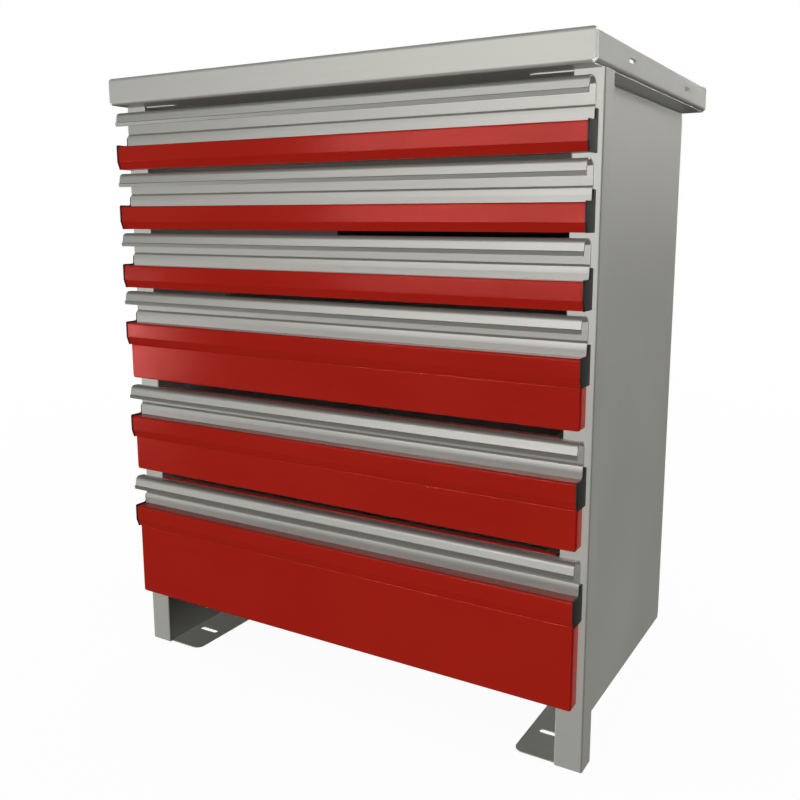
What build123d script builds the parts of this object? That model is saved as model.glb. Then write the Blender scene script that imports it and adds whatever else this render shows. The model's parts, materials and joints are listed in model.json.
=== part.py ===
"""Drawer unit: two folded side frames, an open tray on top and six drawers.

Millimetres, +Z up, the drawers open towards -Y. The origin is on the floor,
under the middle of the whole unit.
"""
from build123d import *
import os

os.makedirs("parts", exist_ok=True)

# Side frames, each one folded sheet; every bend here is an inside radius
unit_width = 762.0
frame_depth = 508.0
post_width = 38.5
post_return = 31.5
inner_flange = 59.5
rear_flange = 20.0
frame_sheet = 1.5
frame_bend = 1.0
bend_land = 1.5
flange_corner = 13.0
foot_slot_length = 36.0
foot_slot_width = 9.0
foot_slot_inset = 64.4

# Open tray on top, a folded floor with two end plates
tray_height = 39.5
tray_overhang = 35.0
tray_hem = 9.0
tray_bend = 2.5
hem_bend = 4.5
tray_corner = 4.0
lip_setback = 1.8
floor_setback = 4.4
end_flange = 24.0
end_bend = 3.5
end_setback = 6.3
end_drop = 3.8
end_gap = 0.8
end_leaf_gap = 5.2
fold_land = 0.1
lashing_slot_length = 29.0
lashing_slot_width = 6.0
lashing_slot_height = 20.0
front_lashing = 100.6
rear_lashing = 377.0

# Back panel
panel_sheet = 1.2
panel_foot_gap = 60.0
panel_top_gap = 3.0
panel_side_gap = 0.3

# Drawer stack, heights measured from the line under each grip's web
foot_height = 82.0
top_gap = 10.5
visor_rise = 30.3
bulge_drop = 53.4
shallow_gap = 6.3
panel_gap = 12.7
medium_panel = 53.6
tall_panel = 113.6
shallow_count = 3
medium_count = 2
tall_count = 1

# Grip, one aluminium extrusion; depths count forward from the posts' front face
grip_overlap = 29.9
wall_gap = 4.5
web_depth = 7.6
web_foot = 1.2
visor_depth = 28.5
visor_droop = 2.5
visor_wall = 2.2
visor_bend = 4.8
visor_back_bend = 12.0
bead_top = 16.0
bead_bottom = 10.3
bead_reach = 1.9
groove_depth = 5.7
shoulder_top = 2.8
shoulder_crown = 0.9
shoulder_depth = 9.8
shoulder_drop = 10.5
bulge_top = 18.8
bulge_depth = 29.5
crease_drop = 41.8
bevel_depth = 25.5
profile_wall = 1.8

# Colour strip over the bulge, and the end caps
strip_sheet = 1.2
strip_clearance = 0.2
strip_bend = 1.8
crease_bend = 0.5
cap_sheet = 2.3
cap_gap = 1.0
cap_lip = 1.6
cap_drop = 0.3
cap_corner = 2.5
cap_edge = 0.5
finger_drop = 4.2
finger_corner = 2.0
finger_root = 3.0
cap_plug = 8.0
plug_clearance = 0.5

# Lower panel of the deeper fronts
lower_setback = 1.5
lower_return = 18.0
lower_corner = 2.8
lower_bend = 0.8
lower_sheet = 1.2

# Drawer box and its front wall
wall_side_gap = 3.9
wall_drop = 2.3
wall_hem = 9.0
box_sheet = 1.2
box_bend = 0.8
box_rear_gap = 43.1
box_flange = 19.0
box_side_drop = 16.3
box_floor_rise = 2.0

# Telescopic rails, three nested channels on each side of a drawer
rail_thickness = 12.7
rail_height = 35.0
rail_sheet = 1.2
rail_bend = 0.3
rail_clearance = 0.4
rail_setback = 3.0
rail_rear_gap = 52.3
rail_above_floor = 31.0

# Cabinet screws and grip screws
screw_radius = 2.5
screw_head_radius = 4.75
screw_head = 2.6
screw_tail = 4.0
hole_clearance = 0.2
tray_screw_inset = 29.0
tray_screw_ends = 60.0
tray_screw_count = 3
panel_screw_ends = 60.0
panel_screw_count = 4
grip_screw_radius = 2.0
grip_screw_head_radius = 4.0
grip_screw_head = 2.4
grip_screw_length = 5.0
grip_screw_drop = 9.0
grip_screw_ends = 60.0
grip_screw_count = 4

# Sizes that follow from the ones above
profile_height = visor_rise + bulge_drop
drawer_kinds = [(0.0, shallow_gap)] * shallow_count
drawer_kinds += [(medium_panel, panel_gap)] * medium_count
drawer_kinds += [(tall_panel, panel_gap)] * tall_count
stack_height = sum(profile_height + drop + gap for drop, gap in drawer_kinds)
frame_height = foot_height + stack_height + top_gap
floor_top = frame_height + frame_sheet
tray_top = frame_height + tray_height
tray_depth = tray_overhang + frame_depth
post_front = tray_overhang - tray_depth / 2
half_width = unit_width / 2
plate_x = half_width - post_width
grip_half = plate_x + grip_overlap
wall_half = plate_x - wall_side_gap
box_half = plate_x - rail_thickness
wall_back = box_sheet - wall_gap
panel_front = frame_depth - frame_sheet - panel_sheet
box_depth = panel_front - box_rear_gap - wall_back
rail_length = panel_front - rail_rear_gap - rail_setback
outer_bend = frame_bend + frame_sheet
bend_relief = outer_bend + bend_land
tray_outer_bend = tray_bend + frame_sheet
end_width = 2 * frame_sheet + end_gap
screw_hole = screw_radius + hole_clearance
grip_hole = grip_screw_radius + hole_clearance


def across(x, z=0.0):
    """Plane across X, whose x is the depth behind the posts' front face."""
    return Plane(origin=(x, post_front, z), x_dir=(0, 1, 0), z_dir=(1, 0, 0))


def facing(depth, z=0.0):
    """Plane that faces the front, at a depth behind the posts' front face."""
    return Plane(origin=(0, post_front + depth, z), x_dir=(1, 0, 0), z_dir=(0, -1, 0))


def level(z):
    """Level plane, whose y is the depth behind the posts' front face."""
    return Plane(origin=(0, post_front, z))


def folded(points, radius, thickness, side):
    """Face of a folded strip, from points along one of its surfaces."""
    with BuildSketch() as strip:
        with BuildLine():
            FilletPolyline(*points, radius=radius)
            offset(amount=thickness, side=side)
        make_face()
    return strip.sketch


def spaced(first, last, count):
    """Evenly spaced places from first to last."""
    step = (last - first) / max(count - 1, 1)
    return [first + step * i for i in range(count)]


tray_screw_x = plate_x - tray_screw_inset
tray_screw_rows = spaced(tray_screw_ends, frame_depth - tray_screw_ends, tray_screw_count)
panel_screw_x = plate_x - (rear_flange + bend_relief) / 2
panel_screw_low = panel_foot_gap + panel_screw_ends
panel_screw_rows = spaced(panel_screw_low, frame_height - panel_screw_ends, panel_screw_count)
tray_screw_places = [(side * tray_screw_x, row) for side in (-1, 1) for row in tray_screw_rows]
panel_screw_places = [(side * panel_screw_x, row) for side in (-1, 1) for row in panel_screw_rows]
foot_slot_x = plate_x - inner_flange / 2 + outer_bend
foot_slot_rows = [foot_slot_inset, frame_depth - foot_slot_inset]

# Right side frame
with BuildPart() as right_side_frame:
    # Plate with its top and foot flanges
    with BuildSketch(facing(bend_relief)):
        plate_line = [
            (plate_x - inner_flange, frame_height - frame_sheet),
            (plate_x, frame_height - frame_sheet),
            (plate_x, frame_sheet),
            (plate_x - inner_flange, frame_sheet),
        ]
        add(folded(plate_line, frame_bend, frame_sheet, Side.LEFT))
    extrude(amount=2 * bend_relief - frame_depth)
    fillet(right_side_frame.edges().filter_by(Axis.Z).group_by(Axis.X)[0], flange_corner)
    # Post at the front, turned outwards and back
    with BuildSketch(level(0)):
        post_line = [(plate_x, bend_relief), (plate_x, 0), (half_width, 0), (half_width, post_return)]
        add(folded(post_line, outer_bend, frame_sheet, Side.LEFT))
    extrude(amount=frame_height)
    # Rear flange, turned inwards
    with BuildSketch(level(2 * bend_relief)):
        rear_line = [
            (plate_x, frame_depth - 2 * bend_relief),
            (plate_x, frame_depth - frame_sheet),
            (plate_x - rear_flange, frame_depth - frame_sheet),
        ]
        add(folded(rear_line, frame_bend, frame_sheet, Side.RIGHT))
    extrude(amount=frame_height - 4 * bend_relief)
    # Slots in the foot flange, holes in the top and rear flanges
    with BuildSketch(level(0)):
        with Locations(*[(foot_slot_x, row) for row in foot_slot_rows]):
            SlotOverall(foot_slot_length, foot_slot_width)
    extrude(amount=frame_sheet, mode=Mode.SUBTRACT)
    with BuildSketch(level(frame_height)):
        with Locations(*[(tray_screw_x, row) for row in tray_screw_rows]):
            Circle(screw_hole)
    extrude(amount=-frame_sheet, mode=Mode.SUBTRACT)
    with BuildSketch(facing(frame_depth)):
        with Locations(*[(panel_screw_x, row) for row in panel_screw_rows]):
            Circle(screw_hole)
    extrude(amount=frame_sheet, mode=Mode.SUBTRACT)
right_side_frame.part.label = "right_side_frame"
export_step(right_side_frame.part, "parts/right_side_frame.step")

# Left side frame
with BuildPart() as left_side_frame:
    add(right_side_frame.part.mirror(Plane.YZ))
left_side_frame.part.label = "left_side_frame"
export_step(left_side_frame.part, "parts/left_side_frame.step")

# Back panel, held inside the rear flanges
panel_half = plate_x - frame_bend - panel_side_gap
with BuildPart() as back_panel:
    with BuildSketch(facing(panel_front)):
        panel_top = frame_height - panel_top_gap
        with Locations((0, (panel_foot_gap + panel_top) / 2)):
            Rectangle(2 * panel_half, panel_top - panel_foot_gap)
        with Locations(*panel_screw_places):
            Circle(screw_hole, mode=Mode.SUBTRACT)
    extrude(amount=-panel_sheet)
back_panel.part.label = "back_panel"
export_step(back_panel.part, "parts/back_panel.step")

# Tray floor with its front and rear lips
floor_half = half_width - floor_setback
lip_half = half_width - lip_setback
with BuildPart() as tray_floor:
    with BuildSketch(across(-lip_half)):
        floor_line = [
            (tray_hem - tray_overhang, tray_top),
            (-tray_overhang, tray_top),
            (-tray_overhang, frame_height),
            (frame_depth, frame_height),
            (frame_depth, tray_top),
            (frame_depth - tray_hem, tray_top),
        ]
        hem_outer_bend = hem_bend + frame_sheet
        floor_bends = [hem_outer_bend, tray_outer_bend, tray_outer_bend, hem_outer_bend]
        add(folded(floor_line, floor_bends, frame_sheet, Side.LEFT))
    extrude(amount=2 * lip_half)
    # Rounded upper corners of both lips, which reach out past the floor and its bends
    with BuildSketch(facing(-tray_overhang)):
        with Locations((0, tray_top - tray_corner / 2)):
            Rectangle(2 * lip_half, tray_corner)
        with Locations((0, tray_top - tray_height / 2)):
            RectangleRounded(2 * lip_half, tray_height, tray_corner, mode=Mode.SUBTRACT)
        with Locations((0, frame_height + tray_outer_bend / 2)):
            Rectangle(2 * lip_half, tray_outer_bend)
            Rectangle(2 * floor_half, tray_outer_bend, mode=Mode.SUBTRACT)
    extrude(amount=-tray_depth, mode=Mode.SUBTRACT)
    with BuildSketch(level(frame_height)):
        with Locations(*tray_screw_places):
            Circle(screw_hole)
    extrude(amount=frame_sheet, mode=Mode.SUBTRACT)
tray_floor.part.label = "tray_floor"
export_step(tray_floor.part, "parts/tray_floor.step")

# Tray end plates, standing on the floor, with their top edge folded over inwards
end_front = end_setback - tray_overhang
end_back = frame_depth - end_setback
end_top = tray_top - end_drop
with BuildPart() as tray_right_end:
    with BuildSketch(facing(end_front)):
        end_line = [
            (half_width - end_flange, floor_top),
            (half_width, floor_top),
            (half_width, end_top),
            (half_width - end_width, end_top),
            (half_width - end_width, floor_top + end_leaf_gap),
        ]
        fold_bend = (end_width - fold_land) / 2
        end_bends = [end_bend + frame_sheet, fold_bend, fold_bend]
        add(folded(end_line, end_bends, frame_sheet, Side.LEFT))
    extrude(amount=end_front - end_back)
    # Lashing slots
    with BuildSketch(across(half_width, frame_height + lashing_slot_height)):
        with Locations((front_lashing, 0), (rear_lashing, 0)):
            SlotOverall(lashing_slot_length, lashing_slot_width)
    extrude(amount=-end_width, mode=Mode.SUBTRACT)
tray_right_end.part.label = "tray_right_end"
export_step(tray_right_end.part, "parts/tray_right_end.step")

with BuildPart() as tray_left_end:
    add(tray_right_end.part.mirror(Plane.YZ))
tray_left_end.part.label = "tray_left_end"
export_step(tray_left_end.part, "parts/tray_left_end.step")

# Screws that hold the tray and the back panel to the side frames
with BuildPart() as cabinet_screws:
    with BuildSketch(level(floor_top)):
        with Locations(*tray_screw_places):
            Circle(screw_head_radius)
    extrude(amount=screw_head)
    with BuildSketch(level(floor_top)):
        with Locations(*tray_screw_places):
            Circle(screw_radius)
    extrude(amount=-2 * frame_sheet - screw_tail)
    with BuildSketch(facing(panel_front)):
        with Locations(*panel_screw_places):
            Circle(screw_head_radius)
    extrude(amount=screw_head)
    with BuildSketch(facing(panel_front)):
        with Locations(*panel_screw_places):
            Circle(screw_radius)
    extrude(amount=-panel_sheet - frame_sheet)
cabinet_screws.part.label = "cabinet_screws"
export_step(cabinet_screws.part, "parts/cabinet_screws.step")

# Section of the grip: visor with its bead, web, shoulder and bulge
strip_inset = strip_sheet + strip_clearance
shoulder_rise = shoulder_drop - shoulder_top
shoulder_radius = (shoulder_rise**2 + shoulder_crown**2) / (2 * shoulder_crown)


def shoulder_y(z):
    """Depth of the round shoulder at a height z below the web."""
    rise = shoulder_drop + z
    return shoulder_radius - shoulder_depth - (shoulder_radius**2 - rise**2) ** 0.5


def shoulder_arc(top):
    """Round front of the shoulder, from a height top down to where it stands upright."""
    middle = (top - shoulder_drop) / 2
    ends = [(shoulder_y(z), z) for z in (top, middle, -shoulder_drop)]
    return ThreePointArc(*ends)


with BuildSketch() as grip_section:
    # The visor's roof turns down into the web in one large bend
    visor_line = [
        (-wall_gap, 0),
        (-wall_gap, visor_rise),
        (-visor_depth, visor_rise),
        (-visor_depth - visor_droop, bead_top),
    ]
    visor_bends = [visor_back_bend, visor_bend + visor_wall]
    add(folded(visor_line, visor_bends, visor_wall, Side.LEFT))
    web_inset = visor_wall / 4
    web_shoulder = visor_rise - visor_back_bend
    web_reach = wall_gap + visor_back_bend - web_depth
    web_top = web_shoulder + ((visor_back_bend - web_inset) ** 2 - web_reach**2) ** 0.5
    with BuildLine():
        bead_front = -visor_depth - visor_droop
        bead_back = bead_front + visor_wall
        Polyline(
            (bead_front, bead_top),
            (bead_front - bead_reach, bead_top - visor_wall / 2),
            (bead_front - bead_reach / 2, bead_bottom),
            (bead_back, bead_bottom),
            (bead_back, bead_top - visor_wall / 2),
            (bead_back, bead_top),
            close=True,
        )
    make_face()
    with BuildLine():
        Polyline(
            (shoulder_y(-shoulder_top), -shoulder_top),
            (-groove_depth, web_foot),
            (-web_depth, web_foot),
            (-web_depth, web_top),
            (-wall_gap - web_inset, web_shoulder),
            (-wall_gap, web_shoulder),
            (-wall_gap, -bulge_drop),
            (strip_inset - bevel_depth, -bulge_drop),
            (strip_inset - bulge_depth, -crease_drop),
            (strip_inset - bulge_depth, -bulge_top - strip_inset),
            (-shoulder_depth, -bulge_top - strip_inset),
            (-shoulder_depth, -shoulder_drop),
        )
        shoulder_arc(-shoulder_top)
    make_face()
    outline = grip_section.vertices()
    bulge_corner = outline.sort_by_distance((strip_inset - bulge_depth, -bulge_top - strip_inset))[0]
    fillet(bulge_corner, strip_bend)
    # Hollow inside the bulge
    hollow_front = strip_inset + profile_wall - bulge_depth
    hollow_back = -wall_gap - profile_wall
    hollow_top = -bulge_top - strip_inset - profile_wall
    hollow_bottom = profile_wall - bulge_drop
    with BuildLine():
        Polyline(
            (hollow_back, hollow_top),
            (hollow_front, hollow_top),
            (hollow_front, -crease_drop),
            (hollow_front + bulge_depth - bevel_depth, hollow_bottom),
            (hollow_back, hollow_bottom),
            close=True,
        )
    make_face(mode=Mode.SUBTRACT)

# Section of the colour strip
strip_line = [
    (-shoulder_depth - strip_clearance, -bulge_top),
    (-bulge_depth, -bulge_top),
    (-bulge_depth, -crease_drop),
    (-bevel_depth, -bulge_drop),
]
strip_bends = [strip_bend + strip_sheet, crease_bend + strip_sheet]
strip_section = folded(strip_line, strip_bends, strip_sheet, Side.LEFT)

# Outline of an end cap: bulge, ledge and the narrow finger up the shoulder
with BuildSketch() as cap_outline:
    ledge = cap_lip - bulge_top
    with BuildLine():
        Polyline(
            (shoulder_y(-finger_drop), -finger_drop),
            (-cap_gap, -finger_drop),
            (-cap_gap, -bulge_drop - cap_drop),
            (-bevel_depth - cap_lip, -bulge_drop - cap_drop),
            (-bulge_depth - cap_lip, -crease_drop),
            (-bulge_depth - cap_lip, ledge),
            (-shoulder_depth, ledge),
            (-shoulder_depth, -shoulder_drop),
        )
        shoulder_arc(-finger_drop)
    make_face()
    fillet(cap_outline.vertices().group_by(Axis.Y)[-1], finger_corner)
    fillet(cap_outline.vertices().sort_by_distance((-bulge_depth, ledge))[0], cap_corner)
    fillet(cap_outline.vertices().sort_by_distance((-shoulder_depth, ledge))[0], finger_root)

grip_screw_rows = spaced(grip_screw_ends - wall_half, wall_half - grip_screw_ends, grip_screw_count)
grip_screw_places = [(row, -grip_screw_drop) for row in grip_screw_rows]
box_top = visor_rise - box_side_drop
lower_depth = bevel_depth - lower_setback
middle_rail_x = plate_x - rail_sheet - rail_clearance
drawer_rail_tip = middle_rail_x - rail_sheet - rail_clearance
channel_mouth = box_half + rail_sheet + rail_clearance
middle_rail_height = rail_height - 2 * (rail_sheet + rail_clearance)
drawer_rail_height = middle_rail_height - 2 * (rail_sheet + rail_clearance)


def channel(web_x, mouth_x, height, side):
    """Section of a rail whose web stands at web_x and whose flanges end at mouth_x."""
    half = height / 2
    line = [(mouth_x, half), (web_x, half), (web_x, -half), (mouth_x, -half)]
    return folded(line, rail_bend + rail_sheet, rail_sheet, side)


cabinet_channel = channel(plate_x, channel_mouth, rail_height, Side.RIGHT)
middle_channel = channel(middle_rail_x, channel_mouth, middle_rail_height, Side.RIGHT)
drawer_channel = channel(box_half, drawer_rail_tip, drawer_rail_height, Side.LEFT)


def pan_block(inset, drop, web_line):
    """Block of a lower panel's outline, inset by a wall, with its front edges rounded."""
    corner = lower_corner + lower_sheet - inset
    bend = lower_bend + lower_sheet - inset
    with BuildPart() as block:
        with BuildSketch(facing(-wall_gap, web_line)) as outline:
            with Locations((0, -bulge_drop - drop / 2)):
                Rectangle(2 * (grip_half - inset), drop - 2 * inset)
            fillet(outline.vertices().group_by(Axis.Y)[0], corner)
        extrude(amount=lower_depth - wall_gap - inset)
        fillet(block.faces().sort_by(Axis.Y)[0].edges(), bend)
    return block.part


# Heights of the drawers' web lines and rails, from the top down
drawers = []
drawer_top = frame_height - top_gap
for panel_drop, gap_below in drawer_kinds:
    web_line = drawer_top - visor_rise
    rail_line = web_line - bulge_drop - panel_drop + box_floor_rise + rail_above_floor
    drawers.append((panel_drop, web_line, rail_line))
    drawer_top -= profile_height + panel_drop + gap_below

# Outer rails on the plates, one for each drawer
with BuildPart() as right_cabinet_rails:
    for panel_drop, web_line, rail_line in drawers:
        with BuildSketch(facing(rail_setback, rail_line)):
            add(cabinet_channel)
        extrude(amount=-rail_length)
right_cabinet_rails.part.label = "right_cabinet_rails"
export_step(right_cabinet_rails.part, "parts/right_cabinet_rails.step")

with BuildPart() as left_cabinet_rails:
    add(right_cabinet_rails.part.mirror(Plane.YZ))
left_cabinet_rails.part.label = "left_cabinet_rails"
export_step(left_cabinet_rails.part, "parts/left_cabinet_rails.step")

# The drawers
for number, (panel_drop, line, rail_line) in enumerate(drawers, start=1):
    drawer_bottom = -bulge_drop - panel_drop
    box_floor = drawer_bottom + box_floor_rise

    # Middle rails, which follow at half the drawer's travel
    with BuildPart() as mid_rails:
        with BuildSketch(facing(rail_setback, rail_line)):
            add(middle_channel)
            mirror(about=Plane.YZ)
        extrude(amount=-rail_length)
    mid_rails.part.label = f"mid_rails_{number}"
    export_step(mid_rails.part, f"parts/mid_rails_{number}.step")

    # Rails on the drawer's sides
    with BuildPart() as drawer_rails:
        with BuildSketch(facing(rail_setback, rail_line)):
            add(drawer_channel)
            mirror(about=Plane.YZ)
        extrude(amount=-rail_length)
    drawer_rails.part.label = f"drawer_{number}_rails"
    export_step(drawer_rails.part, f"parts/drawer_{number}_rails.step")

    # Box: floor, sides with turned-in flanges, and back
    with BuildPart() as box:
        with BuildSketch(facing(wall_back, line)):
            box_line = [
                (box_flange - box_half, box_top),
                (-box_half, box_top),
                (-box_half, box_floor),
                (box_half, box_floor),
                (box_half, box_top),
                (box_half - box_flange, box_top),
            ]
            add(folded(box_line, box_bend + box_sheet, box_sheet, Side.LEFT))
        extrude(amount=-box_depth)
        with BuildSketch(facing(wall_back + box_depth, line)):
            with Locations((0, (box_floor + box_top) / 2)):
                Rectangle(2 * (box_half - box_sheet), box_top - box_floor - 2 * box_sheet)
        extrude(amount=box_sheet)
    box.part.label = f"drawer_{number}_box"
    export_step(box.part, f"parts/drawer_{number}_box.step")

    # Front wall of the box, with its hem turned back along the top
    with BuildPart() as front_wall:
        with BuildSketch(across(-wall_half, line)):
            wall_line = [
                (-wall_gap, drawer_bottom),
                (-wall_gap, visor_rise - wall_drop),
                (wall_hem - wall_gap, visor_rise - wall_drop),
            ]
            add(folded(wall_line, box_bend + box_sheet, box_sheet, Side.RIGHT))
        extrude(amount=2 * wall_half)
        with BuildSketch(facing(wall_back, line)):
            with Locations(*grip_screw_places):
                Circle(grip_hole)
        extrude(amount=box_sheet, mode=Mode.SUBTRACT)
    front_wall.part.label = f"drawer_{number}_front_wall"
    export_step(front_wall.part, f"parts/drawer_{number}_front_wall.step")

    # Grip across the whole front
    with BuildPart() as grip:
        with BuildSketch(across(-grip_half, line)):
            add(grip_section.sketch)
        extrude(amount=2 * grip_half)
        with BuildSketch(facing(-wall_gap, line)):
            with Locations(*grip_screw_places):
                Circle(grip_hole)
        extrude(amount=grip_screw_length - box_sheet + hole_clearance, mode=Mode.SUBTRACT)
    grip.part.label = f"drawer_{number}_grip"
    export_step(grip.part, f"parts/drawer_{number}_grip.step")

    # Colour strip, wrapped over the bulge
    with BuildPart() as colour_strip:
        with BuildSketch(across(-grip_half, line)):
            add(strip_section)
        extrude(amount=2 * grip_half)
    colour_strip.part.label = f"drawer_{number}_colour_strip"
    export_step(colour_strip.part, f"parts/drawer_{number}_colour_strip.step")

    # End caps, plugged into the hollow of the bulge
    with BuildPart() as end_caps:
        with BuildSketch(across(grip_half, line)):
            add(cap_outline.sketch)
        extrude(amount=cap_sheet)
        chamfer(end_caps.faces().sort_by(Axis.X)[-1].edges(), cap_edge)
        plug_width = hollow_back - hollow_front - 2 * plug_clearance
        plug_height = hollow_top + crease_drop - plug_clearance
        with BuildSketch(across(grip_half, line)):
            plug_line = hollow_top - plug_clearance - plug_height / 2
            with Locations(((hollow_back + hollow_front) / 2, plug_line)):
                Rectangle(plug_width, plug_height)
        extrude(amount=-cap_plug)
        mirror(about=Plane.YZ)
    end_caps.part.label = f"drawer_{number}_end_caps"
    export_step(end_caps.part, f"parts/drawer_{number}_end_caps.step")

    # Screws from inside the box through its front wall into the grip
    with BuildPart() as drawer_screws:
        with BuildSketch(facing(wall_back, line)):
            with Locations(*grip_screw_places):
                Circle(grip_screw_head_radius)
        extrude(amount=-grip_screw_head)
        with BuildSketch(facing(wall_back, line)):
            with Locations(*grip_screw_places):
                Circle(grip_screw_radius)
        extrude(amount=grip_screw_length)
    drawer_screws.part.label = f"drawer_{number}_screws"
    export_step(drawer_screws.part, f"parts/drawer_{number}_screws.step")

    # Lower panel of a deep front, a shallow pan whose open side faces the posts
    if panel_drop > 0:
        hollow = pan_block(lower_sheet, panel_drop, line)
        with BuildPart() as lower_panel:
            add(pan_block(0, panel_drop, line))
            add(hollow, mode=Mode.SUBTRACT)
            # The side returns stop short of the posts
            with BuildSketch(facing(-wall_gap, line)):
                side_width = grip_half - wall_half
                with GridLocations(2 * wall_half + side_width, 0, 2, 1):
                    with Locations((0, drawer_bottom + panel_drop / 2)):
                        Rectangle(side_width, panel_drop)
            extrude(amount=lower_depth - lower_return - wall_gap, mode=Mode.SUBTRACT)
        lower_panel.part.label = f"drawer_{number}_lower_panel"
        export_step(lower_panel.part, f"parts/drawer_{number}_lower_panel.step")
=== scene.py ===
"""Looks of the drawer unit: its finishes, the studio around it and the camera.

Metres, +Z up, the drawers open towards -Y.
"""
import json
import math

import bpy
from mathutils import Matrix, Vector

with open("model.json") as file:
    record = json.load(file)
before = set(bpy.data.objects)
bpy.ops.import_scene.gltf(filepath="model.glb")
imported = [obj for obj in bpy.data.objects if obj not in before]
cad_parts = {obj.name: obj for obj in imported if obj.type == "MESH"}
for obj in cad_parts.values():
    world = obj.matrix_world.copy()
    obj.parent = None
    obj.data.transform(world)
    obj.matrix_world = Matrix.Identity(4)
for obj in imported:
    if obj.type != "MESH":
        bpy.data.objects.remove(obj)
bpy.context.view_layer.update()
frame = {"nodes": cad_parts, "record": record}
nodes = frame["nodes"]
slot_of = {part["node"]: part["material_slot"] for part in frame["record"]["subparts"]}

# Camera, solved from the unit's straight edges. Pixels are in an image of 800 by 800,
# its turn leftwards and its tilt upwards are in radians, and its sensor is in millimetres.
IMAGE_SIDE = 800
FOCAL_PIXELS = 890.8
CENTRE_PIXEL = (411.9, 370.3)
CAMERA_PLACE = (0.7165, -1.2481, 0.7039)
CAMERA_TURN = 0.5264
CAMERA_TILT = -0.1684
SENSOR = 36.0
NEAREST_SEEN = 0.02
FURTHEST_SEEN = 60.0

# Surroundings: the even light on matt surfaces, and the dim hall that metal and gloss mirror
WHITE = (1.0, 1.0, 1.0, 1.0)
AMBIENT_COLOUR = (1.0, 1.0, 0.985, 1.0)
AMBIENT = 0.14
HALL = 0.12

# Floor: its matt colour and size, and the glow that only the camera sees, which fades to white
FLOOR_COLOUR = (0.20, 0.20, 0.20, 1.0)
FLOOR_RADIUS = 14.0
FLOOR_SIDES = 96
FLOOR_GLOW = 0.965
FADE_START = 1.2
FADE_END = 4.5

# Distant lamps: turn from the front towards +X, height and radius in degrees, level, the share
# of the light that they give, the pieces that they light, and whether these cast shadows
LAMPS = {
    "left_spot": (-52.5, -7.5, 5.5, 5.5, "mirrored", "outside", False),
    "rear_softbox": (161.2, 32.0, 30.0, 0.80, "mirrored", "outside", False),
    "fill_front": (-46.0, 0.0, 30.0, 1.15, "matt", "outside", False),
    "fill_right": (118.0, 12.0, 8.0, 0.82, "matt", "outside", True),
    "fill_left": (-118.0, 12.0, 8.0, 0.82, "matt", "outside", True),
    "fill_low": (0.0, -90.0, 30.0, 0.06, "matt", "outside", False),
    "inside_front": (-7.3, 30.0, 36.0, 0.9, "mirrored", "inside", True),
    "inside_rear": (161.2, 32.0, 30.0, 0.8, "mirrored", "inside", True),
    "inside_fill": (-22.0, 38.0, 20.0, 0.70, "matt", "inside", True),
    "inside_low": (0.0, -90.0, 30.0, 0.15, "matt", "inside", False),
}
# Finishes of the pieces inside the unit. All others are outside.
SHELTERED = ("box_grey", "back_dark", "rail_zinc", "screw_zinc")

# Front softbox, which only the outside pieces mirror: degrees as seen from the unit, level 1 for
# white, and metres away from the unit
SOFTBOX_TURN = -2.0
SOFTBOX_HEIGHT = 15.0
SOFTBOX_WIDTH = 66.0
SOFTBOX_TALLNESS = 36.0
SOFTBOX_LEVEL = 1.58
SOFTBOX_AWAY = 20.0
# Watts for each square metre of an area lamp that shows at level 1
AREA_WATTS = 4.0

# Finishes, linear colours
FRAME_GREY = (0.555, 0.553, 0.508)
BOX_GREY = (0.50, 0.50, 0.46)
BACK_BLACK = (0.016, 0.016, 0.016)
GRIP_ALUMINIUM = (0.480, 0.478, 0.442)
FRONT_RED = (0.415, 0.0165, 0.0090)
CAP_BLACK = (0.022, 0.022, 0.0211)
RAIL_ZINC = (0.60, 0.61, 0.62)
SCREW_ZINC = (0.56, 0.56, 0.55)
# How much the colour of paint and aluminium varies, as factors
COLOUR_DRIFT = (0.965, 1.03)
# How far the roughness of paint goes up and down
UNEVEN_SHEEN = 0.03
# Most of a noise lies between these, and nearly all of it between the wider pair
NOISE_CORE = (0.35, 0.65)
NOISE_REACH = (0.3, 0.7)
# Depths of the surfaces' grain
PAINT_GRAIN = 0.00002
DIE_LINES = 0.00001
SPARK_GRAIN = 0.00005
ROLLED_GRAIN = 0.00002
# Stretches of a noise along each axis, where a small number makes long streaks
STREAKS_ALONG_X = (0.02, 1.0, 1.0)
LINES_ALONG_X = (0.004, 1.0, 1.0)
DRIFT_ALONG_X = (0.05, 1.0, 1.0)
ROLLED_ALONG_Y = (1.0, 0.01, 1.0)
UNSTRETCHED = (1.0, 1.0, 1.0)


def feed(tree, socket, value):
    """Gives a socket a number, a colour or another node's output."""
    if isinstance(value, bpy.types.NodeSocket):
        tree.links.new(value, socket)
    else:
        socket.default_value = value


def add_node(tree, kind, inputs=None, **settings):
    """Adds a node with its settings, then feeds its inputs."""
    node = tree.nodes.new(kind)
    for name, value in settings.items():
        setattr(node, name, value)
    for key, value in (inputs or {}).items():
        feed(tree, node.inputs[key], value)
    return node


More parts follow.
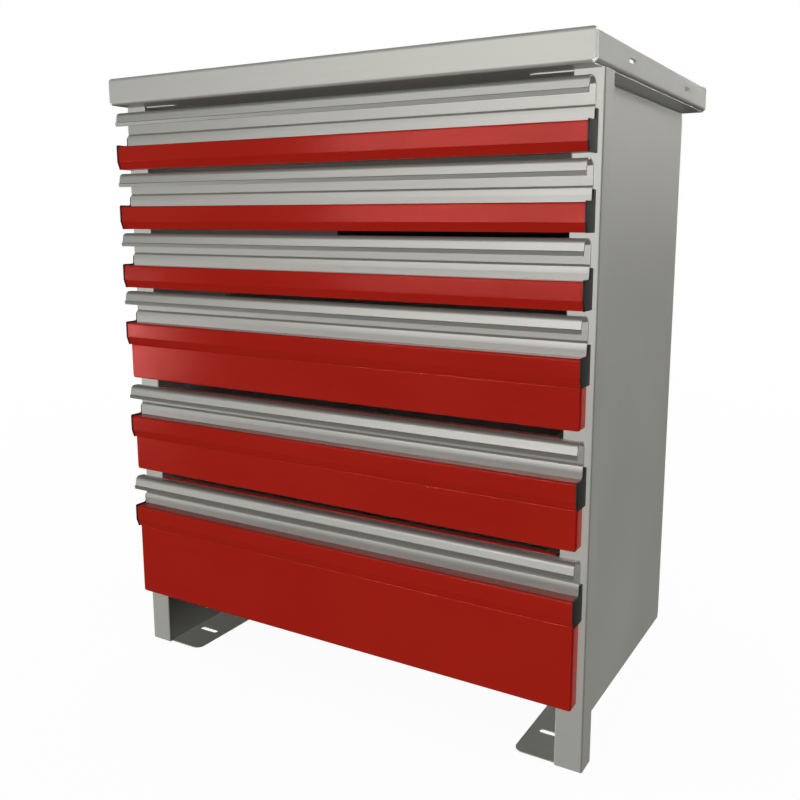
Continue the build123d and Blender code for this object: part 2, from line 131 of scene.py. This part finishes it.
class Finish:
    """One procedural material and short ways to add nodes to it."""

    def __init__(self, name):
        self.material = bpy.data.materials.new(name)
        self.material.use_nodes = True
        self.tree = self.material.node_tree
        self.shader = self.tree.nodes["Principled BSDF"]
        self.place = add_node(self.tree, "ShaderNodeTexCoord").outputs["Object"]

    def add(self, kind, inputs=None, **settings):
        """Adds a node and returns its first output."""
        return add_node(self.tree, kind, inputs, **settings).outputs[0]

    def set(self, **inputs):
        """Sets the shader's own inputs, with underscores for the spaces in their names."""
        for key, value in inputs.items():
            feed(self.tree, self.shader.inputs[key.replace("_", " ")], value)

    def noise(self, scale, detail, stretch=UNSTRETCHED):
        """Noise from 0 to 1, with about scale features in a metre."""
        place = self.add("ShaderNodeMapping", {"Vector": self.place, "Scale": stretch})
        return self.add("ShaderNodeTexNoise", {"Vector": place, "Scale": scale, "Detail": detail})

    def weigh(self, first, second, share):
        """Adds two values up, with this share of the second."""
        parts = [
            self.add("ShaderNodeMath", {0: value, 1: weight}, operation="MULTIPLY")
            for value, weight in ((first, 1.0 - share), (second, share))
        ]
        return self.add("ShaderNodeMath", {0: parts[0], 1: parts[1]}, operation="ADD")

    def between(self, value, low, high, reach=(0.0, 1.0)):
        """Spreads a value over low to high, as it runs from one end of its reach to the other."""
        ends = {"From Min": reach[0], "From Max": reach[1], "To Min": low, "To Max": high}
        return self.add("ShaderNodeMapRange", {"Value": value, **ends})

    def blend(self, factor, first, second):
        """Mixes two colours. A Mix node keeps these at 6 and 7, and the mixed colour at 2."""
        inputs = {0: factor, 6: first, 7: second}
        return add_node(self.tree, "ShaderNodeMix", inputs, data_type="RGBA").outputs[2]

    def drift(self, value, colour):
        """Varies a colour slightly with a noise."""
        darker, lighter = (shade(colour, factor) for factor in COLOUR_DRIFT)
        return self.blend(self.between(value, 0.0, 1.0, NOISE_CORE), darker, lighter)

    def bump(self, height, depth):
        """Bumps the surface by a height from 0 to 1 times a depth in metres."""
        bump = {"Height": height, "Distance": depth, "Strength": 1.0}
        self.set(Normal=self.add("ShaderNodeBump", bump))


def shade(colour, factor):
    """A colour made lighter or darker, with its alpha."""
    return (*(min(channel * factor, 1.0) for channel in colour), 1.0)


def powder_coat(name, colour, roughness, gloss, metallic=0.0):
    """Baked powder paint on sheet steel: fine orange peel, slightly uneven in colour and sheen."""
    finish = Finish(name)
    clouds = finish.noise(scale=5.0, detail=3.0)
    peel = finish.noise(scale=650.0, detail=1.0)
    rolled = finish.noise(scale=260.0, detail=2.0, stretch=STREAKS_ALONG_X)
    sheen = (roughness - UNEVEN_SHEEN, roughness + UNEVEN_SHEEN)
    finish.set(
        Base_Color=finish.drift(finish.weigh(clouds, rolled, 0.3), colour),
        Metallic=metallic,
        Roughness=finish.between(clouds, *sheen, NOISE_REACH),
        Specular_IOR_Level=gloss,
    )
    finish.bump(peel, PAINT_GRAIN)
    return finish.material


def extruded_aluminium(name, colour):
    """Satin anodised extrusion, with fine die lines along X."""
    finish = Finish(name)
    lines = finish.noise(scale=900.0, detail=3.0, stretch=LINES_ALONG_X)
    bands = finish.noise(scale=60.0, detail=2.0, stretch=DRIFT_ALONG_X)
    clouds = finish.noise(scale=4.0, detail=2.0)
    finish.set(
        Base_Color=finish.drift(finish.weigh(lines, bands, 0.5), colour),
        Metallic=0.78,
        Roughness=finish.between(clouds, 0.38, 0.43, NOISE_REACH),
    )
    finish.bump(lines, DIE_LINES)
    return finish.material


def moulded_plastic(name, colour):
    """Black moulded plastic with a fine spark-eroded grain."""
    finish = Finish(name)
    grain = finish.noise(scale=1500.0, detail=2.0)
    clouds = finish.noise(scale=40.0, detail=2.0)
    finish.set(
        Base_Color=finish.blend(clouds, shade(colour, 0.9), shade(colour, 1.15)),
        Roughness=finish.between(clouds, 0.42, 0.52),
        Specular_IOR_Level=0.20,
    )
    finish.bump(grain, SPARK_GRAIN)
    return finish.material


def zinc_plate(name, colour, stretch):
    """Zinc-plated steel with a rolled grain and a faintly yellow passivation in places."""
    finish = Finish(name)
    rolled = finish.noise(scale=700.0, detail=3.0, stretch=stretch)
    clouds = finish.noise(scale=30.0, detail=3.0)
    yellowed = (colour[0], colour[1], colour[2] * 0.90)
    tint = finish.blend(
        finish.between(clouds, 0.0, 1.0, NOISE_CORE), shade(yellowed, 1.0), shade(colour, 1.05)
    )
    streaks = finish.between(rolled, 0.0, 0.5, NOISE_CORE)
    finish.set(
        Base_Color=finish.blend(streaks, tint, shade(colour, 0.82)),
        Metallic=1.0,
        Roughness=finish.between(rolled, 0.26, 0.40, NOISE_REACH),
    )
    finish.bump(rolled, ROLLED_GRAIN)
    return finish.material


def studio_world():
    """Pale surroundings, seen as white, and mirrored as a dim hall."""
    world = bpy.data.worlds.new("studio")
    world.use_nodes = True
    tree = world.node_tree
    ray = add_node(tree, "ShaderNodeLightPath").outputs

    def background(colour, level):
        inputs = {"Color": colour, "Strength": level}
        return add_node(tree, "ShaderNodeBackground", inputs).outputs[0]

    def switch(when, otherwise, then):
        inputs = {0: ray[when], 1: otherwise, 2: then}
        return add_node(tree, "ShaderNodeMixShader", inputs).outputs[0]

    around = switch("Is Glossy Ray", background(AMBIENT_COLOUR, AMBIENT), background(WHITE, HALL))
    shown = switch("Is Camera Ray", around, background(WHITE, 1.0))
    feed(tree, tree.nodes["World Output"].inputs[0], shown)
    bpy.context.scene.world = world


def studio_floor():
    """Round white floor that keeps the unit's shadow and fades into the background."""
    bpy.ops.mesh.primitive_circle_add(vertices=FLOOR_SIDES, radius=FLOOR_RADIUS, fill_type="NGON")
    floor = bpy.context.object
    floor.name = "floor"
    finish = Finish("floor")
    ray = add_node(finish.tree, "ShaderNodeLightPath").outputs
    length = add_node(finish.tree, "ShaderNodeVectorMath", {0: finish.place}, operation="LENGTH")
    far = finish.add(
        "ShaderNodeMapRange",
        {"Value": length.outputs["Value"], "From Min": FADE_START, "From Max": FADE_END},
        interpolation_type="SMOOTHSTEP",
    )
    matt = finish.add("ShaderNodeBsdfDiffuse", {"Color": FLOOR_COLOUR})
    white = finish.add("ShaderNodeEmission", {"Color": WHITE, "Strength": 1.0})
    glow = finish.add("ShaderNodeEmission", {"Color": WHITE, "Strength": FLOOR_GLOW})
    lit = finish.add("ShaderNodeAddShader", {0: matt, 1: glow})
    faded = finish.add("ShaderNodeMixShader", {0: far, 1: lit, 2: white})
    shown = finish.add("ShaderNodeMixShader", {0: ray["Is Camera Ray"], 1: matt, 2: faded})
    feed(finish.tree, finish.tree.nodes["Material Output"].inputs[0], shown)
    finish.tree.nodes.remove(finish.shader)
    floor.data.materials.append(finish.material)


def direction(turn, height):
    """The way from the unit to a lamp, from a turn and a height in degrees."""
    turn, height = math.radians(turn), math.radians(height)
    level = math.cos(height)
    return Vector((math.sin(turn) * level, -math.cos(turn) * level, math.sin(height)))


def hang(light, way, away, share, pieces, shadows):
    """Places a lamp that faces the unit and gives one share of its light to some pieces only."""
    light.use_shadow = shadows
    light.cycles.use_multiple_importance_sampling = shadows
    holder = bpy.data.objects.new(light.name, light)
    holder.visible_camera = False
    holder.visible_glossy = share == "mirrored"
    holder.visible_diffuse = share == "matt"
    holder.location = way * away
    holder.rotation_mode = "QUATERNION"
    holder.rotation_quaternion = (-way).to_track_quat("-Z", "Y")
    holder.light_linking.receiver_collection = pieces
    bpy.context.collection.objects.link(holder)


def distant_lamp(name, turn, height, radius, level, share, pieces, shadows):
    """Round lamp, infinitely far. A mirrored level is its own brightness in a mirror, and a matt
    level the brightness of a white surface that faces it."""
    light = bpy.data.lights.new(name, "SUN")
    radius = math.radians(radius)
    light.angle = 2 * radius
    light.energy = level * math.pi * (math.sin(radius) ** 2 if share == "mirrored" else 1.0)
    hang(light, direction(turn, height), 0.0, share, pieces, shadows)


def front_softbox(pieces):
    """Wide low rectangle in front of the unit, mirrored only."""
    light = bpy.data.lights.new("front_softbox", "AREA")
    light.shape = "RECTANGLE"
    light.size, light.size_y = (
        2 * SOFTBOX_AWAY * math.tan(math.radians(angle) / 2)
        for angle in (SOFTBOX_WIDTH, SOFTBOX_TALLNESS)
    )
    light.energy = AREA_WATTS * SOFTBOX_LEVEL * light.size * light.size_y
    way = direction(SOFTBOX_TURN, SOFTBOX_HEIGHT)
    hang(light, way, SOFTBOX_AWAY, "mirrored", pieces, shadows=False)


def photo_camera():
    """Camera at the photo's place, shifted to its framing."""
    camera = bpy.data.cameras.new("camera")
    camera.sensor_width = SENSOR
    camera.lens = FOCAL_PIXELS / IMAGE_SIDE * SENSOR
    camera.shift_x = 0.5 - CENTRE_PIXEL[0] / IMAGE_SIDE
    camera.shift_y = CENTRE_PIXEL[1] / IMAGE_SIDE - 0.5
    camera.clip_start = NEAREST_SEEN
    camera.clip_end = FURTHEST_SEEN
    holder = bpy.data.objects.new("camera", camera)
    holder.location = CAMERA_PLACE
    holder.rotation_euler = (math.pi / 2 + CAMERA_TILT, 0.0, CAMERA_TURN)
    bpy.context.collection.objects.link(holder)
    bpy.context.scene.camera = holder


finishes = {
    "frame_grey": powder_coat("frame_grey", FRAME_GREY, roughness=0.44, gloss=0.40, metallic=0.46),
    "back_dark": powder_coat("back_dark", BACK_BLACK, roughness=0.50, gloss=0.45),
    "box_grey": powder_coat("box_grey", BOX_GREY, roughness=0.45, gloss=0.25, metallic=0.10),
    "front_red": powder_coat("front_red", FRONT_RED, roughness=0.16, gloss=0.22, metallic=0.18),
    "strip_red": powder_coat("strip_red", FRONT_RED, roughness=0.12, gloss=0.25, metallic=0.18),
    "grip_aluminium": extruded_aluminium("grip_aluminium", GRIP_ALUMINIUM),
    "cap_black": moulded_plastic("cap_black", CAP_BLACK),
    "rail_zinc": zinc_plate("rail_zinc", RAIL_ZINC, ROLLED_ALONG_Y),
    "screw_zinc": zinc_plate("screw_zinc", SCREW_ZINC, UNSTRETCHED),
}
lit = {place: bpy.data.collections.new(place) for place in ("outside", "inside")}
for name, part in nodes.items():
    slot = slot_of[name]
    part.data.materials.clear()
    part.data.materials.append(finishes[slot])
    lit["inside" if slot in SHELTERED else "outside"].objects.link(part)

studio_world()
studio_floor()
for name, (turn, height, radius, level, share, place, shadows) in LAMPS.items():
    distant_lamp(name, turn, height, radius, level, share, lit[place], shadows)
front_softbox(lit["outside"])
# Matt light isn't passed on from piece to piece, as in the photo
bpy.context.scene.cycles.diffuse_bounces = 0
photo_camera()
bpy.context.scene.view_settings.view_transform = "Standard"
